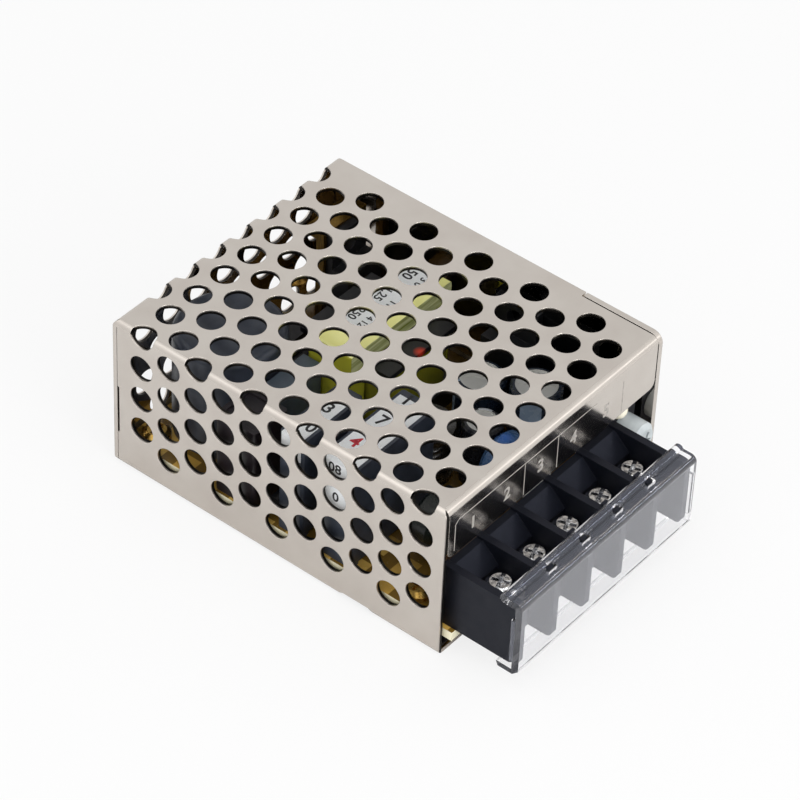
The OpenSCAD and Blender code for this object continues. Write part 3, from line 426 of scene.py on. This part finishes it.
def enamelled_copper():
    """Copper wire under dark brown enamel: glossy turns with the metal's warmth below."""
    finish, tree, shader, place = begin("enamelled_copper", Coat_Weight=0.8, Coat_Roughness=0.1)
    turns = node(
        tree, "ShaderNodeTexWave", {"Vector": place, "Scale": 1 / (4 * MM), "Distortion": 0.6},
        bands_direction="Z",
    ).outputs["Fac"]
    feed(
        tree, shader,
        Base_Color=mottle(tree, turns, "#17130C", "#30281A"),
        Roughness=spread(tree, grain(tree, place, 1 * MM), 0.2, 0.35),
    )
    relief(tree, shader, turns, 0.04 * MM)
    return finish


def shrunk_sleeve(name, ground, stripe, box, half_turn):
    """Shrunk plastic sleeve with the pale stripe that marks the negative lead, half_turn radians
    round from +X, and the bare pressed aluminium lid that it leaves open."""
    finish, tree, shader, place = begin(name, IOR=1.53)
    low, high = box
    rim, stripe_reach, etched = 0.75 * MM, 0.42, 0.2
    lid_middle = Vector(((low.x + high.x) / 2, (low.y + high.y) / 2, high.z))
    lid_radius = (high.x - low.x) / 2 - rim
    from_middle = node(tree, "ShaderNodeVectorMath", {0: place, 1: -lid_middle},
                       operation="ADD").outputs[0]
    x, y, _ = axes(tree, from_middle)
    round_from_stripe = maths(tree, "SUBTRACT", maths(tree, "ARCTAN2", y, x), half_turn)
    striped = maths(tree, "LESS_THAN", maths(tree, "ABSOLUTE", round_from_stripe), stripe_reach)
    out_from_middle = node(
        tree, "ShaderNodeVectorMath", {0: from_middle}, operation="LENGTH").outputs["Value"]
    lid = maths(tree, "LESS_THAN", out_from_middle, lid_radius)
    skin = grain(tree, place, 1.2 * MM, detail=2)
    feed(
        tree, shader,
        Base_Color=blend_tones(tree, lid, blend_tones(tree, striped, ground, stripe), "#DCDCD9"),
        Metallic=lid,
        Roughness=maths(tree, "MULTIPLY_ADD", lid, etched, spread(tree, skin, 0.2, 0.32)),
    )
    relief(tree, shader, skin, 0.002 * MM)
    return finish


def bobbin_with_red_sleeve():
    """Black phenolic bobbin; the red sleeve of one lead shows at the front edge of its flange."""
    finish, tree, shader, place = begin("bobbin_with_red_sleeve", IOR=1.53)
    flange_edge = (5.9, -1.6, 20.1)
    sleeved = remap(tree, distance_from(tree, place, flange_edge), 1.2 * MM, 0.3 * MM)
    skin = grain(tree, place, 0.3 * MM, detail=3)
    feed(
        tree, shader,
        Base_Color=blend_tones(tree, sleeved, "#0F0F13", "#CE3618"),
        Roughness=spread(tree, skin, 0.34, 0.46),
    )
    relief(tree, shader, skin, 0.004 * MM, SOFT_EDGE)
    return finish


def printed_grey():
    """Pad-printed marks on the plating: thin matt grey ink, slightly raised and worn."""
    finish, tree, shader, place = begin("printed_grey", IOR=1.45, Specular_IOR_Level=0.2)
    wear = grain(tree, place, 0.35 * MM, detail=4)
    feed(
        tree, shader,
        Base_Color=mottle(tree, wear, "#8F8B86", "#B3AFA9"),
        Roughness=spread(tree, wear, 0.5, 0.65),
    )
    relief(tree, shader, wear, 0.002 * MM)
    return finish


def label_ink(name, dark, light):
    """Ink on label paper, a little uneven."""
    finish, tree, shader, place = begin(name, IOR=1.5)
    wear = grain(tree, place, 0.3 * MM, detail=3)
    feed(
        tree, shader,
        Base_Color=mottle(tree, wear, dark, light),
        Roughness=spread(tree, wear, 0.4, 0.55),
    )
    relief(tree, shader, wear, 0.002 * MM)
    return finish


def wear_on(finish, *names):
    """Gives a finish to CAD nodes."""
    for name in names:
        slots = cad[name].material_slots
        if not slots:
            cad[name].data.materials.append(finish)
        for slot in slots:
            slot.material = finish


def each(stem):
    """The names of the nodes that every terminal has."""
    return [f"{stem}_{i}" for i in range(1, WAYS + 1)]


paper = paper_label()
flap_print = printed_grey()
black_print = label_ink("printed_black", "#17171A", "#2B2B30")
red_print = label_ink("printed_red", "#B0202C", "#C9323E")

# Case, terminals and board
wear_on(nickel_plated_steel(), "folded_mesh_case", "side_plate")
wear_on(zinc_plated_steel(), "case_screws", *each("clamp_washer"), *each("terminal_screw"))
wear_on(turned_brass(), "board_standoffs", "board_screws")
wear_on(tinned_brass(), *each("contact_plate"))
wear_on(black_moulded_polyester(), "terminal_block")
wear_on(clear_polycarbonate(), "terminal_cover")
wear_on(lacquered_laminate(), "circuit_board")
wear_on(dull_solder(), "solder_joints")
wear_on(dyed_plastic("insulating_film_black", "#131315", "#1F1F22", 0.3), "insulating_film")
wear_on(dyed_plastic("trimmer_dark_nylon", "#0F1218", "#191E28", 0.4), "trimmer_body")
wear_on(dyed_plastic("knob_pale_nylon", "#AFB7BA", "#C8CED0", 0.4), "trimmer_knob")
wear_on(dyed_plastic("lamp_milky_epoxy", "#E2DBC2", "#F2EDDA", 0.2), "indicator_lamp")

# Transformer
wear_on(sintered_ferrite(), "transformer_core")
wear_on(bobbin_with_red_sleeve(), "transformer_bobbin")
# Tape colours: the top colour is painted light, the end and dark right-side colours are painted
# shade, and the light streak tone is partly painted highlight.
wear_on(
    polyester_tape("winding_tape", dark="#6C6A1C", light="#B9B544", run=(1, 1, 0.15),
                   top="#C9C24A", end="#8F8C2C", painted_shade_right="#15140C"),
    "transformer_winding")
wear_on(
    polyester_tape("core_tape", dark="#7F8C34", light="#FDFFC4", run=(0.08, 1, 1),
                   top="#FFFDA6", end="#C2C03C", painted_shade_right="#4A4816"),
    "transformer_tape")
wear_on(paper, "transformer_label", "filter_capacitor_label", "suppression_capacitor_label")

# Other parts on the board
wear_on(dyed_plastic("slate_sleeve_and_case", "#2C313B", "#3B414D", 0.36),
        "bulk_capacitor", "filter_capacitor", "suppression_capacitor")
wear_on(dyed_plastic("potting_case_dark", "#1A1519", "#261F24", 0.4), "line_filter")
wear_on(dyed_plastic("moulded_epoxy_black", "#0C0C0F", "#15161A", 0.42),
        "control_chip", "switching_transistor", "output_diode", "small_diodes")
wear_on(dyed_plastic("rectifier_slate_epoxy", "#434D58", "#505B66", 0.4), "bridge_rectifier")
wear_on(dyed_plastic("coupler_white_epoxy", "#D8D6CE", "#ECEAE2", 0.4), "optocoupler")
wear_on(dyed_plastic("fuse_brown_case", "#3C2A20", "#553D2E", 0.35), "mains_fuse")
wear_on(dyed_plastic("limiter_dark_green", "#0D120F", "#171D19", 0.3), "inrush_limiter")
wear_on(dyed_plastic("resistor_beige_lacquer", "#A98C60", "#C6AA7C", 0.3), "resistors")
wear_on(anodised_aluminium("heatsink_black_anodised", "#0E0F11", "#1D1F22", 0.35),
        "diode_heatsink")
wear_on(anodised_aluminium("heatsink_gold_passivated", "#5A441A", "#8A6C30", 0.3),
        "transistor_heatsink")
wear_on(enamelled_copper(), "output_choke")
wear_on(dipped_blue_epoxy(), "disc_capacitor")
for name, ground, stripe, half_turn in (
        ("output_capacitor_1", "#1B2431", "#8FA0B4", -2.7),
        ("output_capacitor_2", "#1B2431", "#8FA0B4", 2.2),
        ("auxiliary_capacitor", "#1C1D22", "#B6B9BE", 0.5)):
    wear_on(shrunk_sleeve(f"{name}_sleeve", ground, stripe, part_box(name), half_turn), name)


# Pieces that the CAD nodes don't carry


def add_print(name, mesh, finish):
    """Print that stays with the case, with its finish in a material slot."""
    piece = bpy.data.objects.new(name, mesh)
    bpy.context.scene.collection.objects.link(piece)
    mesh.materials.append(finish)
    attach(piece, "housing")


def thin_marks(name, bars):
    """Flat bars as thick as the ink, given as corner, along and up vectors."""
    shape = bmesh.new()
    for corner, along, up in bars:
        out = along.cross(up).normalized() * INK
        base = [corner, corner + along, corner + along + up, corner + up]
        lower = [shape.verts.new(p) for p in base]
        upper = [shape.verts.new(p + out) for p in base]
        shape.faces.new(lower[::-1])
        shape.faces.new(upper)
        for i in range(4):
            shape.faces.new((lower[i], lower[(i + 1) % 4], upper[(i + 1) % 4], upper[i]))
    mesh = bpy.data.meshes.new(name)
    shape.to_mesh(mesh)
    shape.free()
    return mesh


def numerals(name, texts):
    """Plain figures: each text with its frame and its height, joined into one mesh."""
    shape = bmesh.new()
    for words, at, size in texts:
        curve = bpy.data.curves.new(name, "FONT")
        curve.body = words
        curve.size = size
        curve.align_x = curve.align_y = "CENTER"
        curve.extrude = INK
        curve.offset = BOLDER * size
        curve.resolution_u = 3
        maker = bpy.data.objects.new(name, curve)
        bpy.context.scene.collection.objects.link(maker)
        bpy.context.view_layer.update()
        solid = maker.evaluated_get(bpy.context.evaluated_depsgraph_get()).to_mesh()
        solid.transform(at)
        shape.from_mesh(solid)
        bpy.data.objects.remove(maker)
        bpy.data.curves.remove(curve)
    mesh = bpy.data.meshes.new(name)
    shape.to_mesh(mesh)
    shape.free()
    return mesh


def facing(origin, along, up):
    """The frame whose X and Y are along and up, at origin."""
    out = along.cross(up)
    return Matrix.Translation(origin) @ Matrix((along, up, out)).transposed().to_4x4()


first_way = block_low.x + END_BARRIER + WAY_PITCH / 2
flap_print_face = FLAP_FACE - CLEAR_OF_FACE


def on_flap(x, up):
    """A place on the flap, up metres above its lower edge."""
    return Vector((x, flap_print_face, FLAP_FOOT + up))


# Dividing lines between the terminals' fields, and the frame round them with its cut corner
frame_top, corner = 6.4 * MM, 0.8 * MM
left, right = block_low.x + 0.3 * MM, block_low.x + 33.2 * MM
bars = [
    (on_flap(left + corner, frame_top), X * (right - left - corner), Z * LINE),
    (on_flap(left, corner), X * LINE, Z * 4.8 * MM),
    (on_flap(left, frame_top - corner), (X + Z).normalized() * 1.1 * MM,
     (Z - X).normalized() * LINE),
]
for i in (2, 3, 5):
    between_ways = first_way + WAY_PITCH * (i - 0.5)
    bars.append((on_flap(between_ways, 0.3 * MM), X * LINE, Z * 6.1 * MM))
add_print("flap_lines", thin_marks("flap_lines", bars), flap_print)

texts = [(str(i + 1), facing(on_flap(first_way + WAY_PITCH * i, 3.4 * MM), X, Z), FIGURE)
         for i in range(WAYS)]
add_print("flap_numerals", numerals("flap_numerals", texts), flap_print)

# Plain figures on the transformer's label, read from the rear of the case
label_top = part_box("transformer_label")[1].z + CLEAR_OF_FACE
texts = [(words, facing(Vector((x * MM, y * MM, label_top)), -X, -Y), size * MM)
         for words, x, y, size in (
             ("250", 3.2, 8.7, 2.0), ("4 12", 2.6, 6.4, 1.6), ("1.25", 9.2, 8.5, 2.0),
             ("11", 8.2, 6.0, 1.8), ("50", 15.4, 8.4, 2.4), ("3 0", 15.0, 5.9, 1.8))]
add_print("transformer_figures", numerals("transformer_figures", texts), black_print)

# Plain figures on the boxed capacitors' labels, read from the left side of the case
front_low, front_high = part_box("filter_capacitor_label")
front_top, front_end = front_high.z + CLEAR_OF_FACE, front_low.x - CLEAR_OF_FACE
rear_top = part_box("suppression_capacitor_label")[1].z + CLEAR_OF_FACE
texts = [(words, facing(Vector((x * MM, y * MM, top)), -Y, X), size)
         for words, x, y, top, size in (
             ("1", -6.9, -9.3, front_top, FIGURE), ("7", -12.7, -9.3, front_top, FIGURE),
             ("3", -15.8, -1.9, rear_top, 3 * MM), ("10", -20.6, -1.9, rear_top, 3 * MM))]
texts += [(words, facing(Vector((front_end, y * MM, z * MM)), -Y, Z), 2.4 * MM)
          for words, y, z in (("08", -9.9, 22.5), ("0", -10.2, 17.0))]
add_print("capacitor_figures", numerals("capacitor_figures", texts), black_print)
texts = [("4", facing(Vector((-18.7 * MM, -9.3 * MM, front_top)), -Y, X), FIGURE)]
add_print("capacitor_red_figure", numerals("capacitor_red_figure", texts), red_print)


# Floor, light and camera


def white_floor():
    """Plain pale floor that reads as white to the camera and through the clear cover, and keeps
    a fifth of its own light and shade there, so the object's shadow stays."""
    white_share = 0.8
    finish, tree, shader, _ = begin(
        "white_floor", Roughness=0.9, Specular_IOR_Level=0.1, Base_Color=tone("#D4D4D4"))
    path = node(tree, "ShaderNodeLightPath").outputs
    seen = maths(tree, "MAXIMUM", path["Is Camera Ray"], path["Is Transmission Ray"])
    glow = node(tree, "ShaderNodeEmission", {"Color": tone("#FFFFFF"), "Strength": 1.0})
    both = node(tree, "ShaderNodeMixShader", {
        0: maths(tree, "MULTIPLY", seen, white_share), 1: shader.outputs[0], 2: glow.outputs[0]})
    tree.links.new(both.outputs[0], tree.nodes["Material Output"].inputs["Surface"])
    return finish


def lay_floor():
    """A floor 3 m across, a hair below the case so that it doesn't cut through its underside."""
    shape = bmesh.new()
    bmesh.ops.create_grid(shape, x_segments=1, y_segments=1, size=1.5)
    mesh = bpy.data.meshes.new("floor")
    shape.to_mesh(mesh)
    shape.free()
    floor = bpy.data.objects.new("floor", mesh)
    floor.location.z = -0.02 * MM
    floor.data.materials.append(white_floor())
    bpy.context.scene.collection.objects.link(floor)


def light_room():
    """An even pale room that is plain white to the camera."""
    room = bpy.data.worlds.new("studio")
    bpy.context.scene.world = room
    room.use_nodes = True
    tree = room.node_tree
    tree.nodes.clear()
    sky = node(tree, "ShaderNodeBackground", {"Color": tone("#F2F2F2"), "Strength": 0.92})
    white = node(tree, "ShaderNodeBackground", {"Color": tone("#FFFFFF"), "Strength": 1.0})
    both = node(tree, "ShaderNodeMixShader", {
        0: node(tree, "ShaderNodeLightPath").outputs["Is Camera Ray"],
        1: sky.outputs[0], 2: white.outputs[0]})
    node(tree, "ShaderNodeOutputWorld", {"Surface": both.outputs[0]})


def soft_box(name, at, size, power):
    """A square or oblong lamp turned to the object's middle, with its size and its watts."""
    lamp = bpy.data.lights.new(name, "AREA")
    lamp.shape = "RECTANGLE"
    lamp.size, lamp.size_y = size
    lamp.energy = power
    made = bpy.data.objects.new(name, lamp)
    made.location = at
    made.rotation_mode = "QUATERNION"
    made.rotation_quaternion = (Vector((0, 0, 0.01)) - Vector(at)).to_track_quat("-Z", "Y")
    bpy.context.scene.collection.objects.link(made)


def place_camera():
    """The photograph's own view, fitted to the case's edges and its rows of holes."""
    stand = Vector((-0.3554, -0.27426, 0.41898))
    ahead = Vector((0.5898, 0.4506, -0.6701)).normalized()
    side = Vector((0.6317, -0.7744, 0.0352))
    up = side.cross(ahead).normalized()
    side = ahead.cross(up)
    lens = bpy.data.cameras.new("camera")
    lens.sensor_width = 36
    lens.lens = 183.1
    lens.clip_start, lens.clip_end = 0.01, 10
    made = bpy.data.objects.new("camera", lens)
    turned = Matrix((side, up, -ahead)).transposed().to_4x4()
    made.matrix_world = Matrix.Translation(stand) @ turned
    bpy.context.scene.collection.objects.link(made)
    bpy.context.scene.camera = made


lay_floor()
light_room()
soft_box("key_light", (-0.35, -0.25, 0.6), (1.5, 1.5), 6.6)
soft_box("fill_light", (-0.08, -0.62, 0.26), (0.4, 0.3), 1.6)
soft_box("edge_light", (0.39, -0.475, 0.31), (0.085, 0.085), 0.16)
place_camera()
bpy.context.scene.view_settings.view_transform = "Standard"
